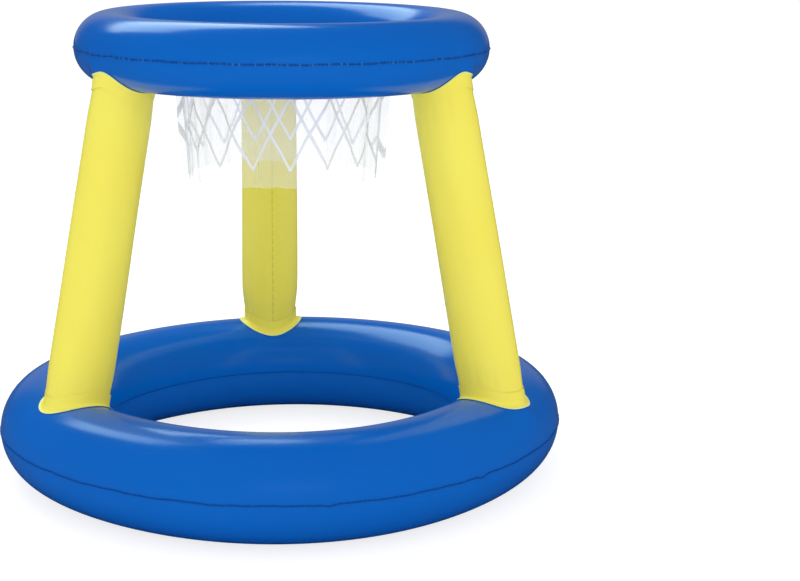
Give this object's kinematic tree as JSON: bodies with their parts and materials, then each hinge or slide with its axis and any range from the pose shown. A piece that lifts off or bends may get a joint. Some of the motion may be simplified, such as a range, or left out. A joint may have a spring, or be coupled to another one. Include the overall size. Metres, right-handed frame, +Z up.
{
  "type": "inflatable pool basketball hoop",
  "caption": "Inflatable basketball hoop for a swimming pool: a fat base ring, leaning tube legs, a smaller hoop ring and a short skirt of clear film printed with a net.",
  "frame": {"origin": "on the floor, on the common axis of the two rings", "axes": "+Z up along the rings' axis, +Y towards the back leg, +X to the right seen from the open front"},
  "size_m": [0.598, 0.598, 0.4898],
  "materials": {
    "blue_film": "glossy flexible PVC film, welded at the seams",
    "yellow_film": "satin-gloss flexible PVC film, welded at the seams",
    "clear_film": "clear flexible PVC film with a net printed in white",
    "valve_plastic": "soft moulded PVC, slightly translucent white"
  },
  "bodies": {
    "inflated_frame": {"base_upper_panel": "blue_film", "base_lower_panel": "blue_film", "hoop_upper_panel": "blue_film", "hoop_lower_panel": "blue_film", "left_leg": "yellow_film", "left_leg_foot_collar": "yellow_film", "left_leg_head_collar": "yellow_film", "right_leg": "yellow_film", "right_leg_foot_collar": "yellow_film", "right_leg_head_collar": "yellow_film", "back_leg": "yellow_film", "back_leg_foot_collar": "yellow_film", "back_leg_head_collar": "yellow_film", "net_front_film": "clear_film", "net_back_film": "clear_film", "base_valve_flange": "valve_plastic", "hoop_valve_flange": "valve_plastic"},
    "base_valve_stem": {"base_valve_stem": "valve_plastic"},
    "base_valve_cap": {"base_valve_cap": "valve_plastic"},
    "base_valve_flap": {"base_valve_flap": "valve_plastic"},
    "hoop_valve_stem": {"hoop_valve_stem": "valve_plastic"},
    "hoop_valve_cap": {"hoop_valve_cap": "valve_plastic"},
    "hoop_valve_flap": {"hoop_valve_flap": "valve_plastic"}
  },
  "joints": [
    {"name": "base_valve_push_in", "type": "slide", "parent": "inflated_frame", "child": "base_valve_stem", "axis": [0.38, 0.7705, 0.5117], "range_m": [0, 0.009]},
    {"name": "base_valve_cap_strap", "type": "hinge", "parent": "base_valve_stem", "child": "base_valve_cap", "pos_m": [0.12622, 0.25596, 0.08873], "axis": [0.8969, -0.4423, 0], "range_deg": [0, 150]},
    {"name": "base_valve_flap_hinge", "type": "hinge", "parent": "base_valve_stem", "child": "base_valve_flap", "pos_m": [0.11917, 0.24165, 0.0733], "axis": [-0.8969, 0.4423, 0], "range_deg": [0, 60], "stiffness_Nm_per_rad": 0.0001, "springref_deg": -11.46},
    {"name": "hoop_valve_push_in", "type": "slide", "parent": "inflated_frame", "child": "hoop_valve_stem", "axis": [0.3185, 0.769, 0.5542], "range_m": [0, 0.009]},
    {"name": "hoop_valve_cap_strap", "type": "hinge", "parent": "hoop_valve_stem", "child": "hoop_valve_cap", "pos_m": [0.07815, 0.18866, 0.48276], "axis": [0.9239, -0.3827, 0], "range_deg": [0, 150]},
    {"name": "hoop_valve_flap_hinge", "type": "hinge", "parent": "hoop_valve_stem", "child": "hoop_valve_flap", "pos_m": [0.07235, 0.17466, 0.46655], "axis": [-0.9239, 0.3827, 0], "range_deg": [0, 60], "stiffness_Nm_per_rad": 0.0001, "springref_deg": -11.46}
  ]
}
